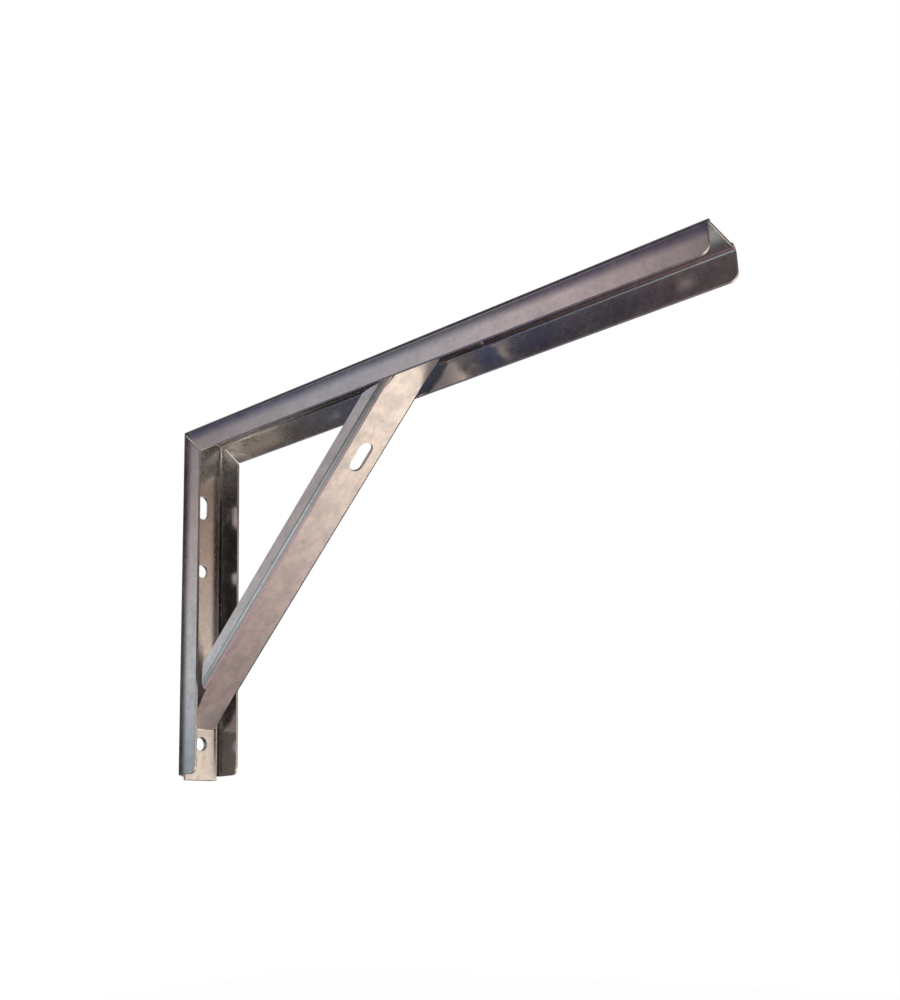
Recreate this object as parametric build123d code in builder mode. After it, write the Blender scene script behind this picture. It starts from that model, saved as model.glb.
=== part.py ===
import os

from build123d import *

os.makedirs("parts", exist_ok=True)

# A pressed-steel shelf bracket: a folded U channel, bent once into a wall leg and a shelf arm, and a
# folded U brace set across the angle at 45 degrees. Millimetres.
# The wall face of the leg is the plane x = 0 and the origin is half way down it. X runs out along the
# arm, Z is up, and Y is across the bracket, which is centred on y = 0.

# Folded channel
arm_length = 330.0  # wall face to the tip of the flanges
leg_length = 200.0  # shelf face to the foot of the leg's web
channel_width = 30.0  # outside the flanges
flange_depth = 16.0  # outer face of the web to the free edge of a flange
sheet = 1.5
bend_radius = 2.5  # inside radius of every fold of the channel
mitre_gap = 0.9  # open joint where the flanges of leg and arm meet
free_corner_radius = 4.0  # rounded corners of the flanges at the tip and the foot
foot_setback = 0.5  # flanges stop short of the web at the foot
tip_setback = 0.5  # web stops short of the flanges at the tip

# Holes of the leg and the arm
screw_hole_diameter = 7.6
leg_slot_length = 14.0
leg_slot_down = 43.8  # shelf face to the middle of the slot
leg_hole_down = 82.2  # shelf face to the leg's upper hole
foot_hole_up = 18.0  # foot to the leg's lower hole, through the tab too
arm_hole_out = 82.2  # wall face to the arm's first hole
tip_hole_in = 30.0  # tip of the flanges to the arm's last hole

# Brace
foot_to_brace = 27.3  # foot of the leg to where the brace would meet the wall face
brace_width = 26.6
brace_depth = 9.3
brace_bend_radius = 1.5
brace_leg_gap = 3.0  # leg's flange edge to the cut end of the brace's flanges, at mid depth
brace_arm_gap = 0.2  # arm's flange edge to the cut end of the brace's flanges, at mid depth
leg_cut_tilt = 4.0  # degrees off plumb, nearer the leg at the fold of the flange
arm_cut_tilt = 14.0  # degrees off level, nearer the arm at the fold of the flange
brace_slot_down = 45.4  # middle of the slot in the brace's web, below the shelf face
brace_slot_length = 17.0
brace_slot_width = 9.0

# Tabs at the ends of the brace
tab_root_width = 21.0  # where the brace's flanges stop
tab_neck_width = 17.8  # at the fold
tab_end_width = 22.0
crease_past_brace = 0.8  # the fold is this far past where the brace would meet the wall face
crease_radius = 0.8  # inside radius of the fold between brace and tab
arm_tab_length = 27.3  # end of the arm's tab, from where the brace would meet the shelf face
arm_tab_corner_radius = 3.0
lip_clearance = 0.5  # foot of the leg's web to the tab's lip, which is turned in under it
lip_edge_radius = 0.6
lip_corner_radius = 2.8

# Values that follow from those
half_width = channel_width / 2
outer_radius = bend_radius + sheet
flat_half = half_width - outer_radius
shelf_z = leg_length / 2
foot_z = shelf_z - leg_length
brace_reach = leg_length - foot_to_brace  # corner to where the brace's face would meet either face
tab_hole_reach = leg_length - foot_hole_up  # holes through tab and channel, along leg and arm
tab_face = 2 * sheet  # the front of a tab that lies on the channel's web
crease_z = shelf_z - brace_reach - crease_past_brace
past = 5.0  # how far a cutting shape runs past what it cuts

across = (0, -1, 0)
up_brace = (1, 0, 1)
brace_middle = (brace_reach / 2, 0, shelf_z - brace_reach / 2)


def u_section(width, depth, inner_radius):
    # Outer face of the web along the local X axis, flanges towards local +Y
    with BuildSketch() as section:
        with BuildLine():
            Polyline(
                (-width / 2, depth),
                (-width / 2, 0),
                (width / 2, 0),
                (width / 2, depth),
                (width / 2 - sheet, depth),
                (width / 2 - sheet, sheet),
                (-width / 2 + sheet, sheet),
                (-width / 2 + sheet, depth),
                close=True,
            )
        make_face()
        rows = section.vertices().group_by(Axis.Y)
        fillet(rows[0], inner_radius + sheet)
        fillet(section.vertices().filter_by(lambda v: abs(v.Y - sheet) < sheet / 10), inner_radius)
    return section.sketch


def channel_run(start, direction, length, kept_side):
    # One run of the channel, cut at 45 degrees through the corner of the wall face and the shelf face
    with BuildPart() as run:
        with BuildSketch(Plane(start, x_dir=across, z_dir=direction)):
            add(u_section(channel_width, flange_depth, bend_radius))
        extrude(amount=length)
        split(bisect_by=Plane((0, 0, shelf_z), x_dir=across, z_dir=up_brace), keep=kept_side)
    return run.part


with BuildPart() as folded_channel:
    add(channel_run((0, 0, foot_z), (0, 0, 1), leg_length, Keep.BOTTOM))
    add(channel_run((0, 0, shelf_z), (1, 0, 0), arm_length, Keep.TOP))

    # The fold between leg and arm, rounded outside and inside
    with BuildSketch(Plane.XZ):
        with Locations((0, shelf_z)):
            Rectangle(outer_radius, outer_radius, align=(Align.MIN, Align.MAX))
        with Locations((outer_radius, shelf_z - outer_radius)):
            Circle(outer_radius, mode=Mode.SUBTRACT)
    extrude(amount=half_width + past, both=True, mode=Mode.SUBTRACT)
    with BuildSketch(Plane.XZ):
        with Locations((sheet, shelf_z - sheet)):
            Rectangle(bend_radius, bend_radius, align=(Align.MIN, Align.MAX))
        with Locations((outer_radius, shelf_z - outer_radius)):
            Circle(bend_radius, mode=Mode.SUBTRACT)
    extrude(amount=half_width - sheet, both=True)

    # The open mitre through each flange, and the flanges' ends at the foot, both outside the flat web
    mitre_length = (flange_depth - outer_radius) * 2**0.5 + past
    for side in (-1, 1):
        with BuildSketch(Plane.XZ.offset(side * flat_half)):
            with Locations((outer_radius, shelf_z - outer_radius)):
                Rectangle(mitre_length, mitre_gap, rotation=-45, align=(Align.MIN, Align.CENTER))
            with Locations((-past, foot_z + foot_setback)):
                Rectangle(flange_depth + 2 * past, foot_setback + past, align=(Align.MIN, Align.MAX))
        extrude(amount=side * (outer_radius + past), mode=Mode.SUBTRACT)

    # The web's end at the tip
    with BuildSketch(Plane.YZ.offset(arm_length)):
        with Locations((0, shelf_z)):
            Rectangle(2 * flat_half, 2 * outer_radius)
    extrude(amount=-tip_setback, mode=Mode.SUBTRACT)

    # Rounded free corners of the flanges at the tip and at the foot
    cross_edges = folded_channel.edges().filter_by(Axis.Y)
    tip_corners = cross_edges.group_by(Axis.X)[-1].group_by(Axis.Z)[0]
    foot_edges = cross_edges.filter_by(lambda e: abs(e.center().Z - foot_z - foot_setback) < foot_setback / 2)
    foot_corners = foot_edges.group_by(Axis.X)[-1]
    fillet(tip_corners + foot_corners, free_corner_radius)

    # Screw holes and the slot of the leg
    with BuildSketch(Plane.YZ):
        with Locations((0, shelf_z - leg_hole_down), (0, shelf_z - tab_hole_reach)):
            Circle(screw_hole_diameter / 2)
        with Locations((0, shelf_z - leg_slot_down)):
            SlotOverall(leg_slot_length, screw_hole_diameter, rotation=90)
    extrude(amount=sheet + past, mode=Mode.SUBTRACT)

    # Screw holes of the arm
    with BuildSketch(Plane.XY.offset(shelf_z)):
        with Locations((arm_hole_out, 0), (tab_hole_reach, 0), (arm_length - tip_hole_in, 0)):
            Circle(screw_hole_diameter / 2)
    extrude(amount=-(sheet + past), mode=Mode.SUBTRACT)

folded_channel.part.label = "folded_channel"
export_step(folded_channel.part, "parts/folded_channel.step")


def brace_end(flange_stop, tab_bottom, end_corner_radius):
    # The web of the brace beyond its flanges, at the leg: a tongue that narrows to a sharp fold, and a
    # tab that widens again down the web of the leg. flange_stop is the distance of the flanges' cut end
    # from the wall face, and tab_bottom is the tab's lower end.
    root_x = flange_stop + tab_face
    root_z = shelf_z - brace_reach + root_x
    middle = sheet / 2
    with BuildPart() as end:
        with BuildSketch(Plane.XZ):
            with BuildLine():
                FilletPolyline(
                    (root_x - middle / 2**0.5, root_z + middle / 2**0.5),
                    (tab_face - middle, crease_z),
                    (tab_face - middle, tab_bottom),
                    radius=crease_radius + middle,
                )
            trace(line_width=sheet)
        extrude(amount=channel_width / 2, both=True)
        with BuildSketch(Plane.YZ) as outline:
            with BuildLine():
                edge = TangentArc(
                    (tab_neck_width / 2, crease_z), (tab_end_width / 2, tab_bottom), tangent=(0, -1)
                )
                Polyline(
                    edge @ 1,
                    (0, tab_bottom),
                    (0, root_z + tab_face),
                    (tab_root_width / 2, root_z + tab_face),
                    (tab_root_width / 2, root_z),
                    edge @ 0,
                )
            make_face()
            mirror(about=Plane.YZ)
            if end_corner_radius:
                fillet(outline.vertices().group_by(Axis.Y)[0].sort_by(Axis.X)[0::2], end_corner_radius)
        extrude(amount=root_x + past, mode=Mode.INTERSECT)
    return end.part


with BuildPart() as brace:
    across_brace = Plane(brace_middle, x_dir=(0, 1, 0), z_dir=up_brace)
    with BuildSketch(across_brace):
        add(u_section(brace_width, brace_depth, brace_bend_radius))
    extrude(amount=brace_reach, both=True)

    # Flanges and web cut off nearly plumb beside the leg and nearly level below the arm
    leg_stop = flange_depth + brace_leg_gap
    arm_stop = flange_depth + brace_arm_gap
    mid_depth_reach = brace_reach - brace_depth / 2**0.5
    leg_cut = Plane((leg_stop, 0, shelf_z + leg_stop - mid_depth_reach), x_dir=across, z_dir=(1, 0, 0))
    arm_cut = Plane((mid_depth_reach - arm_stop, 0, shelf_z - arm_stop), x_dir=across, z_dir=(0, 0, 1))
    split(bisect_by=leg_cut.rotated((0, leg_cut_tilt, 0)), keep=Keep.TOP)
    split(bisect_by=arm_cut.rotated((0, -arm_cut_tilt, 0)), keep=Keep.BOTTOM)

    # The end at the leg, with its lip turned in under the foot
    lip_bottom = foot_z - lip_clearance - sheet
    add(brace_end(leg_stop, lip_bottom, 0))
    with BuildSketch(Plane.XZ):
        with Locations((0, lip_bottom)):
            Rectangle(tab_face, sheet, align=(Align.MIN, Align.MIN))
    extrude(amount=tab_end_width / 2, both=True)
    lip_edges = brace.edges().filter_by(Axis.Y).group_by(Axis.Z)[0]
    fillet(lip_edges.sort_by(Axis.X)[-1], lip_edge_radius)
    for side in (-1, 1):
        with BuildSketch(Plane.XY.offset(lip_bottom)):
            with Locations((0, side * tab_end_width / 2)):
                Rectangle(2 * lip_corner_radius, 2 * lip_corner_radius)
            with Locations((lip_corner_radius, side * (tab_end_width / 2 - lip_corner_radius))):
                Circle(lip_corner_radius, mode=Mode.SUBTRACT)
        extrude(amount=sheet, mode=Mode.SUBTRACT)

    # The end at the arm is the same shape turned over, with a plain rounded tab
    arm_end = brace_end(arm_stop, shelf_z - brace_reach - arm_tab_length, arm_tab_corner_radius)
    add(mirror(arm_end, about=across_brace, mode=Mode.PRIVATE))

    # Slot in the web for a screwdriver, in line with the slot of the leg
    with BuildSketch(Plane(brace_middle, x_dir=up_brace, z_dir=(1, 0, -1))):
        with Locations(((brace_reach / 2 - brace_slot_down) * 2**0.5, 0)):
            SlotOverall(brace_slot_length, brace_slot_width)
    extrude(amount=-sheet, mode=Mode.SUBTRACT)

    # Screw holes through the tabs, in line with those of the leg and the arm
    with BuildSketch(Plane.YZ.offset(sheet)):
        with Locations((0, shelf_z - tab_hole_reach)):
            Circle(screw_hole_diameter / 2)
    extrude(amount=sheet, mode=Mode.SUBTRACT)
    with BuildSketch(Plane.XY.offset(shelf_z - sheet)):
        with Locations((tab_hole_reach, 0)):
            Circle(screw_hole_diameter / 2)
    extrude(amount=-sheet, mode=Mode.SUBTRACT)

brace.part.label = "brace"
export_step(brace.part, "parts/brace.step")
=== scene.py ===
# Shelf bracket of folded steel sheet, bright zinc plated: a channel bent into a wall leg and a shelf arm,
# with a narrower channel as a brace across the angle. Everything is in metres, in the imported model's frame.
import math

import bpy
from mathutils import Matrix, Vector
from mathutils.bvhtree import BVHTree


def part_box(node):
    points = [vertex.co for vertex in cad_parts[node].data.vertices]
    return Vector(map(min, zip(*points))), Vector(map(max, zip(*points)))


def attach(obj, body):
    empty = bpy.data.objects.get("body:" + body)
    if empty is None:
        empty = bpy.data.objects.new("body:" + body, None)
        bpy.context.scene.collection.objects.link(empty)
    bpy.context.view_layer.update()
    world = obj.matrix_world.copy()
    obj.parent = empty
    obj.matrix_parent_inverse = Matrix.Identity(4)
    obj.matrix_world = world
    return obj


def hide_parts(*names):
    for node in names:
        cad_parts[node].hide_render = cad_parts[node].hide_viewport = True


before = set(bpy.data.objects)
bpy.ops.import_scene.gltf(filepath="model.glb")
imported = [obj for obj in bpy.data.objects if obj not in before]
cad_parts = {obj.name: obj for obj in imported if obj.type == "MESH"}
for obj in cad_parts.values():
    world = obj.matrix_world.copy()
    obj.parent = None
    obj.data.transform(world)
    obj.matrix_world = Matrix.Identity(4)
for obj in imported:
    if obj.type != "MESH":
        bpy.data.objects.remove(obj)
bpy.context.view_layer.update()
print("frame loaded:", sorted(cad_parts))

millimetre = 0.001

camera = {
    "place": (0.474886, -0.381818, -0.142872),
    "turn": (102.5705, 2.2930, 37.5655),  # degrees, below the arm and looking up a little
    "lens": 38.016,
    "sensor": 36.0,
    "shift": (-0.0093, 0.1101),
    "nearest": 0.01,
}


def placeCamera(settings):
    data = bpy.data.cameras.new("camera")
    data.lens = settings["lens"]
    data.sensor_width = settings["sensor"]
    data.shift_x, data.shift_y = settings["shift"]
    data.clip_start = settings["nearest"]
    holder = bpy.data.objects.new("camera", data)
    holder.location = settings["place"]
    holder.rotation_euler = [math.radians(a) for a in settings["turn"]]
    bpy.context.scene.collection.objects.link(holder)
    bpy.context.scene.camera = holder


placeCamera(camera)
print("camera placed")


def toLinear(hexColour):
    # sRGB hex to the linear values that Blender wants
    channels = [int(hexColour[i:i + 2], 16) / 255 for i in (1, 3, 5)]
    return [c / 12.92 if c <= 0.04045 else ((c + 0.055) / 1.055) ** 2.4 for c in channels] + [1.0]


def addNode(owner, kind, settings=None, inputs=None):
    # owner is a material or the world, and inputs maps a socket to a value or to another node's output
    tree = owner.node_tree
    node = tree.nodes.new(kind)
    for key, value in (settings or {}).items():
        setattr(node, key, value)
    for key, value in (inputs or {}).items():
        if isinstance(value, bpy.types.NodeSocket):
            tree.links.new(value, node.inputs[key])
        else:
            node.inputs[key].default_value = value
    return node


zincFaces = {
    "base": "#E5E3E2",
    "clouds": (
        # colour, size in mm, detail, shift, where the noise starts to show and shows most, most share
        ("#D8D9DB", 9.0, 3.0, 0.0, 0.38, 0.66, 0.60),  # cool clouds
        ("#D7D4CF", 9.0, 3.0, 7.3, 0.46, 0.70, 0.40),  # straw clouds
        ("#A09E9C", 3.0, 4.0, 3.1, 0.50, 0.75, 0.22),  # dull blotches
        ("#A09E9C", 1.0, 2.0, 11.7, 0.64, 0.74, 0.30),  # dull specks
    ),
    "streakMm": 0.7,  # the rolled grain, drawn coarser than it is so that it shows
    "streakStretch": (0.05, 1, 0.05),
    "smearMm": 3.0,
    "smearShift": 5.9,
    "unevenSpan": (0.7, 1.3),
    "roughness": (0.16, 0.30),
    "wavesMm": 11.0,
    "waveHeightMm": 0.03,
    "grainHeightMm": 0.004,
}


def zincPlate(name, settings):
    # Bright zinc plate on cold-rolled sheet: nearly a mirror, softened by the rolled grain, with faint
    # cool and straw clouds of passivation and small dull specks
    material = bpy.data.materials.new(name)
    material.use_nodes = True
    material.node_tree.nodes.clear()
    place = addNode(material, "ShaderNodeTexCoord").outputs["Object"]

    def noise(sizeMm, detail, stretch=(1, 1, 1), shift=0.0):
        scaled = addNode(material, "ShaderNodeMapping",
                         inputs={"Vector": place, "Scale": [s / (sizeMm * millimetre) for s in stretch],
                                 "Location": (shift, shift, shift)})
        return addNode(material, "ShaderNodeTexNoise",
                       inputs={"Vector": scaled.outputs["Vector"], "Scale": 1.0, "Detail": detail,
                               "Roughness": 0.6}).outputs["Fac"]

    def mix(factor, first, second):
        node = addNode(material, "ShaderNodeMix", {"data_type": "RGBA"}, {"Factor": factor})
        for key, value in ((6, first), (7, second)):
            if isinstance(value, bpy.types.NodeSocket):
                material.node_tree.links.new(value, node.inputs[key])
            else:
                node.inputs[key].default_value = toLinear(value)
        return node.outputs[2]

    colour = settings["base"]
    for cloud, sizeMm, detail, shift, low, high, most in settings["clouds"]:
        share = addNode(material, "ShaderNodeMapRange", {"interpolation_type": "SMOOTHSTEP"},
                        {"Value": noise(sizeMm, detail, shift=shift), "From Min": low, "From Max": high,
                         "To Max": most})
        colour = mix(share.outputs["Result"], colour, cloud)

    streaks = noise(settings["streakMm"], 3.0, stretch=settings["streakStretch"])
    smears = noise(settings["smearMm"], 3.0, shift=settings["smearShift"])
    uneven = addNode(material, "ShaderNodeMath", {"operation": "ADD"}, {0: streaks, 1: smears}).outputs[0]
    start, end = settings["unevenSpan"]
    low, high = settings["roughness"]
    roughness = addNode(material, "ShaderNodeMapRange",
                        inputs={"Value": uneven, "From Min": start, "From Max": end,
                                "To Min": low, "To Max": high})
    waves = addNode(material, "ShaderNodeBump",
                    inputs={"Height": noise(settings["wavesMm"], 1.0),
                            "Distance": settings["waveHeightMm"] * millimetre, "Strength": 1.0})
    grain = addNode(material, "ShaderNodeBump",
                    inputs={"Height": streaks, "Distance": settings["grainHeightMm"] * millimetre,
                            "Strength": 1.0, "Normal": waves.outputs["Normal"]})
    shader = addNode(material, "ShaderNodeBsdfPrincipled",
                     inputs={"Base Color": colour, "Metallic": 1.0, "Roughness": roughness.outputs["Result"],
                             "Normal": grain.outputs["Normal"]})
    addNode(material, "ShaderNodeOutputMaterial", inputs={"Surface": shader.outputs["BSDF"]})
    return material


faceMaterial = zincPlate("brightZincPlate", zincFaces)
# The same plate where it is rougher: paler, with a broad soft highlight in place of a mirrored one
dullMaterial = zincPlate("dullZincPlate", {**zincFaces, "base": "#FAF4F0", "roughness": (0.42, 0.52)})
print("materials made")

finish = {
    "sheet": 1.5,  # mm
    "mergeWithin": 0.001,  # mm
    "flatWithin": 0.3,  # degrees, between faces that are joined into one
    "edgeRound": 0.18,  # mm, the plated burr line of every cut edge
    "edgeSegments": 2,
    "sharpAngle": 50,  # degrees
    "lipFold": ((-0.1008, -0.0996), (-0.001, 0.0029)),  # height and reach in metres, edges left as folded
    "notches": ((21.95, 11.0, -50.6), (153.35, 11.0, 80.9)),  # mm, corners beside the tongues, left as cut
    "notchReach": 2.0,  # mm
    "faceWeight": 50,
    "bendDepth": 4.0,  # mm, where the channel's bends end
    "crownDepth": 10.0,  # mm, where its flanges are quite flat
    "crownLean": 0.22,  # lean of a flange's face beside its bend
    "crownPast": 1.05,  # how far up the crown's slope a corner still leans, 1 being the bend's end
    "flangeSide": 13.4,  # mm from the middle plane, past which a corner is on a flange
    "hollowLean": 0.16,  # lean of the leg's web and of the tab on it, which are pressed a little hollow
    "hollowSheets": 2.3,  # how many sheets thick the web and the tab on it are, with some to spare
    "square": 0.97,  # how far a normal points one way to count as facing it
    "frontSquare": 0.985,  # the same for the front of the brace
    "deepSheets": 1.4,  # how many sheets deep the metal is behind a face that counts as dull
    "besideMiddle": 0.02,  # share of the way from a face's middle to a corner, where its depth is measured
    "belowFace": 0.01,  # mm
}
braceFront = Vector((1, 0, -1)).normalized()
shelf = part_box("folded_channel")[1].z


def markCutEdges(mesh, settings):
    # Every sharp edge is eased, except inside the small fold of the lip under the foot and in the notches
    facesOf = {}
    for polygon in mesh.polygons:
        for key in polygon.edge_keys:
            facesOf.setdefault(key, []).append(polygon)
    weights = mesh.attributes.new("bevel_weight_edge", "FLOAT", "EDGE")
    notches = [Vector(notch) for notch in settings["notches"]]
    for edge in mesh.edges:
        first, second = facesOf[edge.key]
        middle = (mesh.vertices[edge.vertices[0]].co + mesh.vertices[edge.vertices[1]].co) / 2
        inFold = all(low < c < high for c, (low, high) in zip((middle.z, middle.x), settings["lipFold"]))
        aside = Vector((middle.x, abs(middle.y), middle.z)) / millimetre
        inNotch = any((aside - notch).length < settings["notchReach"] for notch in notches)
        sharp = first.normal.angle(second.normal) > math.radians(settings["sharpAngle"])
        weights.data[edge.index].value = 1.0 if sharp and not (inFold or inNotch) else 0.0


def leanFaces(mesh, settings):
    # Press-bent sheet isn't flat, and only the shading says so here: a flange leans a little towards the
    # web beside its bend, the front of the leg's web and of the tab turns a little aside, and the front of
    # the brace shades as one flat face with its tongues
    square = settings["square"]
    hollowDepth = settings["hollowSheets"] * settings["sheet"] * millimetre
    normals = []
    for corner, facing in zip(mesh.loops, mesh.corner_normals):
        normal = Vector(facing.vector)
        place = mesh.vertices[corner.vertex_index].co
        depth = min(place.x, shelf - place.z) / millimetre
        slope = (settings["crownDepth"] - depth) / (settings["crownDepth"] - settings["bendDepth"])
        onFlange = abs(place.y) > settings["flangeSide"] * millimetre and abs(normal.y) > square
        if onFlange and 0 < slope < settings["crownPast"]:
            web = Vector((-1, 0, 0)) if place.x < shelf - place.z else Vector((0, 0, 1))
            normal += web * slope * settings["crownLean"] * math.copysign(1, normal.y * place.y)
        if normal.dot(braceFront) > settings["frontSquare"]:
            normal = braceFront.copy()
        if normal.x > square and place.x < hollowDepth:
            normal.y -= settings["hollowLean"]
        normals.append(normal.normalized())
    mesh.normals_split_custom_set(normals)


def dullFaces(mesh, settings):
    # The dull plate goes on cut edges, which have much more than a sheet of metal behind them, on faces
    # with a hole at their middle, which measure the same, and on the front of the brace
    tree = BVHTree.FromPolygons([v.co for v in mesh.vertices], [p.vertices for p in mesh.polygons])
    beside = settings["besideMiddle"]
    deepest = settings["deepSheets"] * settings["sheet"] * millimetre
    for polygon in mesh.polygons:
        inwards = -polygon.normal
        start = mesh.vertices[polygon.vertices[0]].co * beside + polygon.center * (1 - beside)
        hit = tree.ray_cast(start + inwards * settings["belowFace"] * millimetre, inwards)
        deep = hit[3] is None or hit[3] > deepest
        front = polygon.normal.dot(braceFront) > settings["frontSquare"]
        polygon.material_index = 1 if deep or front else 0


def dressNode(nodeName, pieceName, settings, crowned=False):
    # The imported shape, merged into clean faces, with its cut edges eased and given their own finish
    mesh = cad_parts[nodeName].data.copy()
    mesh.materials.clear()
    piece = bpy.data.objects.new(pieceName, mesh)
    bpy.context.scene.collection.objects.link(piece)
    bpy.ops.object.select_all(action="DESELECT")
    piece.select_set(True)
    bpy.context.view_layer.objects.active = piece
    if mesh.has_custom_normals:
        bpy.ops.mesh.customdata_custom_splitnormals_clear()
    bpy.ops.object.mode_set(mode="EDIT")
    bpy.ops.mesh.select_all(action="SELECT")
    bpy.ops.mesh.remove_doubles(threshold=settings["mergeWithin"] * millimetre)
    bpy.ops.mesh.mark_sharp(clear=True)
    bpy.ops.mesh.dissolve_limited(angle_limit=math.radians(settings["flatWithin"]),
                                  use_dissolve_boundaries=False)
    if crowned:
        for point, facing in (((settings["crownDepth"] * millimetre, 0, 0), (1, 0, 0)),
                              ((0, 0, shelf - settings["crownDepth"] * millimetre), (0, 0, 1))):
            bpy.ops.mesh.select_all(action="SELECT")
            bpy.ops.mesh.bisect(plane_co=point, plane_no=facing)
    bpy.ops.object.mode_set(mode="OBJECT")

    mesh.materials.append(faceMaterial)
    mesh.materials.append(dullMaterial)
    dullFaces(mesh, settings)
    markCutEdges(mesh, settings)
    bevel = piece.modifiers.new("easedEdges", "BEVEL")
    bevel.width = settings["edgeRound"] * millimetre
    bevel.segments = settings["edgeSegments"]
    bevel.limit_method = "WEIGHT"
    bevel.use_clamp_overlap = False
    bevel.loop_slide = False
    bevel.miter_outer = "MITER_SHARP"
    bpy.ops.object.modifier_apply(modifier=bevel.name)
    bpy.ops.object.shade_smooth()
    weighted = piece.modifiers.new("flatFaces", "WEIGHTED_NORMAL")
    weighted.weight = settings["faceWeight"]
    weighted.keep_sharp = False
    bpy.ops.object.modifier_apply(modifier=weighted.name)
    leanFaces(mesh, settings)
    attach(piece, "root")
    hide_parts(nodeName)
    print(pieceName, len(mesh.polygons), "faces")


dressNode("folded_channel", "channelSheet", finish, crowned=True)
dressNode("brace", "braceSheet", finish)


def seenRay(owner):
    # 1 on a ray that the camera sees straight, by gloss or through glass, and 0 on any other
    path = addNode(owner, "ShaderNodeLightPath")
    seen = path.outputs["Is Camera Ray"]
    for kind in ("Is Glossy Ray", "Is Transmission Ray"):
        larger = addNode(owner, "ShaderNodeMath", {"operation": "MAXIMUM"}, {0: seen, 1: path.outputs[kind]})
        seen = larger.outputs[0]
    return seen


ground = {
    "level": -1.05,
    "size": 12.0,
    "colour": "#EDEBE7",
    "white": 0.97,  # share of plain white that is seen in it; the rest is the lit surface with its shadow
}


def makeFloor(settings):
    # A pale matt floor, and nothing from below
    bpy.ops.object.select_all(action="DESELECT")
    bpy.ops.mesh.primitive_plane_add(size=settings["size"], location=(0, 0, settings["level"]))
    floor = bpy.context.object
    floor.name = "floor"
    material = bpy.data.materials.new("paleFloor")
    material.use_nodes = True
    material.node_tree.nodes.clear()
    matt = addNode(material, "ShaderNodeBsdfDiffuse", inputs={"Color": toLinear(settings["colour"])})
    white = addNode(material, "ShaderNodeEmission", inputs={"Color": (1, 1, 1, 1), "Strength": 1.0})
    share = addNode(material, "ShaderNodeMath", {"operation": "MULTIPLY"},
                    {0: seenRay(material), 1: settings["white"]})
    above = addNode(material, "ShaderNodeMixShader",
                    inputs={0: share.outputs[0], 1: matt.outputs[0], 2: white.outputs[0]})
    below = addNode(material, "ShaderNodeNewGeometry").outputs["Backfacing"]
    clear = addNode(material, "ShaderNodeBsdfTransparent")
    oneSided = addNode(material, "ShaderNodeMixShader",
                       inputs={0: below, 1: above.outputs[0], 2: clear.outputs[0]})
    addNode(material, "ShaderNodeOutputMaterial", inputs={"Surface": oneSided.outputs[0]})
    floor.data.materials.append(material)


tent = {
    "middle": (0.12, 0.0, 0.0),
    "reach": 1.0,
    "segments": 64,
    "rings": 32,
    # Each silk: toward (azimuth from +X, elevation) and spread in degrees, strength, colour
    "silks": [
        ((80, 62), 14, 0.40, "#F4F2F0"),
        ((-30, 52), 10, 0.20, "#F0EAE6"),
        ((150, 34), 14, 0.50, "#F2F2F4"),
        ((22, 7), 7, 0.36, "#FFE8D9"),
        ((-118, -6), 9, 0.50, "#DDF2F6"),
        ((18, -6), 9, 2.20, "#FFF4E6"),
        ((4, -14), 10, 0.90, "#FFF0E0"),
        ((150, -16), 11, 0.45, "#EEF0F6"),
        ((26, -18), 9, 1.30, "#FFF0E0"),
        ((-55, -20), 11, 0.12, "#F4F0EC"),
        ((56, -28), 9, 2.40, "#FFF2E0"),
        ((70, -29), 9, 1.20, "#FFEFE7"),
        ((-85, -32), 9, 0.50, "#E6F2F4"),
        ((-75, -46), 9, 0.40, "#E6F2F4"),
        ((-45, -46), 9, 0.30, "#E8F0F2"),
    ],
    # These came from a least-squares fit of the lights to the photo, in another script: the first eleven
    # as the fit gave them, rounded, and the last six with a colour or more changed by hand
    "fittedSilks": [
        ((-110, 52), 13, 0.06, "#C195FF"),
        ((-150, 33), 9, 0.06, "#9886FF"),
        ((-130, 33), 9, 0.37, "#E6F1FF"),
        ((-110, 33), 9, 0.61, "#FFE4DF"),
        ((-135, 19), 7, 0.40, "#FFEBE1"),
        ((-148, 7), 7, 0.63, "#FFF9FD"),
        ((-145, -5), 8, 0.23, "#C6EEFF"),
        ((-100, -18), 9, 0.86, "#FEFFFE"),
        ((120, -18), 9, 0.31, "#66A3FF"),
        ((130, -32), 9, 0.07, "#BA9DFF"),
        ((0, -75), 20, 0.43, "#FFD3DC"),
        ((-148, 19), 7, 0.11, "#FFC49A"),
        ((-135, 7), 7, 0.17, "#B4E6FF"),
        ((25, 19), 7, 0.42, "#FFD5BC"),
        ((105, -32), 9, 0.06, "#FFB4A8"),
        ((-20, -60), 12, 0.22, "#E8F0F2"),
        ((20, -60), 13, 0.32, "#F4C4C4"),
    ],
}


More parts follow.
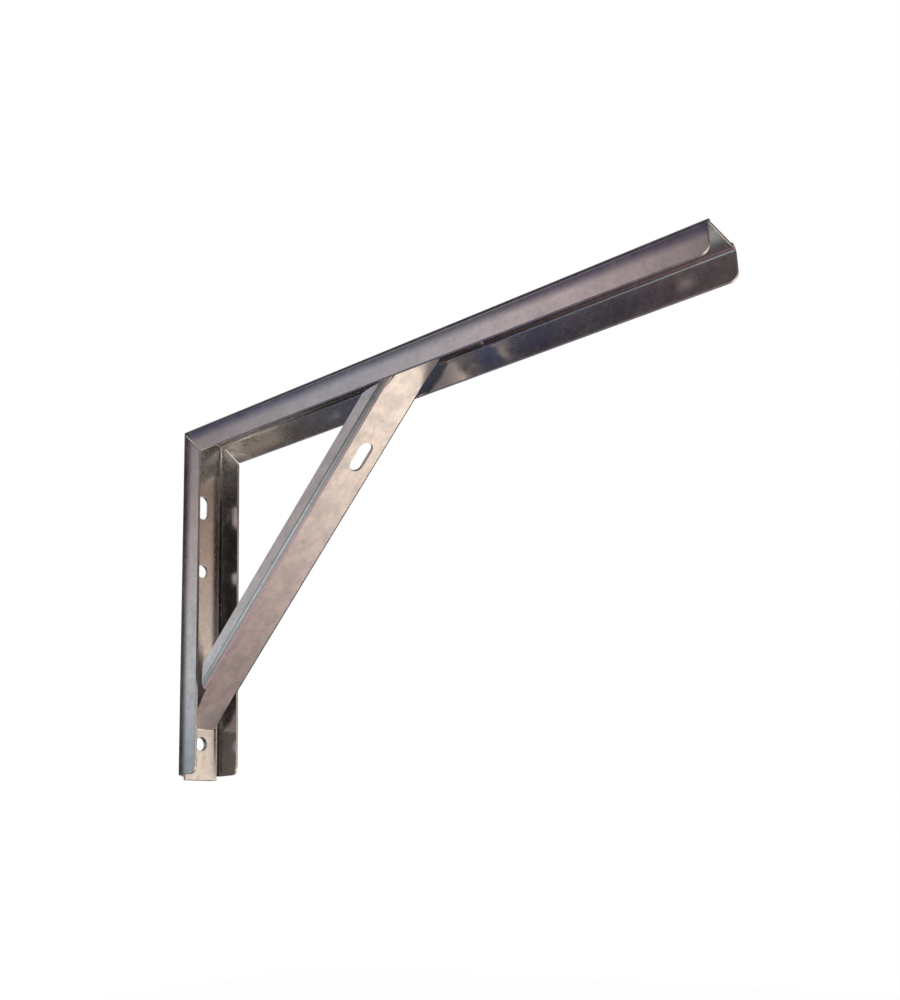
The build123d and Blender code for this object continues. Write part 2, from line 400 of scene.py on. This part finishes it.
def makeTent(settings):
    # Soft silks all round, off camera and dark between them: bright metal only shows what stands round
    # it. The tent hides the pale floor and world from gloss, and gives no light to matt surfaces.
    bpy.ops.object.select_all(action="DESELECT")
    bpy.ops.mesh.primitive_uv_sphere_add(segments=settings["segments"], ring_count=settings["rings"],
                                         radius=settings["reach"])
    cloth = bpy.context.object
    cloth.name = "darkTent"
    cloth.location = settings["middle"]
    material = bpy.data.materials.new("darkTentCloth")
    material.use_nodes = True
    material.node_tree.nodes.clear()
    place = addNode(material, "ShaderNodeTexCoord").outputs["Object"]
    ray = addNode(material, "ShaderNodeVectorMath", {"operation": "NORMALIZE"}, {0: place}).outputs["Vector"]

    light = (0.0, 0.0, 0.0)
    for (azimuth, elevation), spread, strength, colour in settings["silks"] + settings["fittedSilks"]:
        # One soft silk: brightest toward its middle and fading with the angle from it
        azimuth, elevation = math.radians(azimuth), math.radians(elevation)
        toward = (math.cos(azimuth) * math.cos(elevation), math.sin(azimuth) * math.cos(elevation),
                  math.sin(elevation))
        sharp = 1 / math.radians(spread) ** 2
        ahead = addNode(material, "ShaderNodeVectorMath", {"operation": "DOT_PRODUCT"}, {0: ray, 1: toward})
        fall = addNode(material, "ShaderNodeMath", {"operation": "MULTIPLY_ADD"},
                       {0: ahead.outputs["Value"], 1: sharp, 2: -sharp})
        glow = addNode(material, "ShaderNodeMath", {"operation": "EXPONENT"}, {0: fall.outputs[0]})
        tint = [strength * c for c in toLinear(colour)[:3]]
        light = addNode(material, "ShaderNodeVectorMath", {"operation": "MULTIPLY_ADD"},
                        {0: glow.outputs[0], 1: tint, 2: light}).outputs[0]
    shader = addNode(material, "ShaderNodeEmission", inputs={"Color": light, "Strength": 1.0}).outputs[0]
    addNode(material, "ShaderNodeOutputMaterial", inputs={"Surface": shader})
    cloth.data.materials.append(material)
    cloth.visible_camera = False
    cloth.visible_diffuse = False
    cloth.visible_shadow = False


keyLight = {
    "place": (-0.4, -1.0, 1.9),
    "aim": (0.1, 0, 0),
    "size": 1.4,
    "watts": 4.0,
}


def makeLamp(name, settings):
    data = bpy.data.lights.new(name, "AREA")
    data.shape = "SQUARE"
    data.size = settings["size"]
    data.energy = settings["watts"]
    lamp = bpy.data.objects.new(name, data)
    lamp.location = settings["place"]
    aim = Vector(settings["aim"]) - Vector(settings["place"])
    lamp.rotation_euler = aim.to_track_quat("-Z", "Y").to_euler()
    bpy.context.scene.collection.objects.link(lamp)


worldLight = {
    "falling": 0.6,  # strength on matt surfaces
    "seen": 1.0,  # strength as it is seen, plain white
}


def makeWorld(settings):
    world = bpy.data.worlds.new("studioWorld")
    bpy.context.scene.world = world
    world.use_nodes = True
    background = world.node_tree.nodes["Background"]
    background.inputs["Color"].default_value = (1, 1, 1, 1)
    strength = addNode(world, "ShaderNodeMapRange",
                       inputs={"Value": seenRay(world), "To Min": settings["falling"],
                               "To Max": settings["seen"]})
    world.node_tree.links.new(strength.outputs[0], background.inputs["Strength"])


makeFloor(ground)
makeTent(tent)
makeLamp("keyLamp", keyLight)
makeWorld(worldLight)
bpy.context.scene.view_settings.view_transform = "Standard"
print("studio set")
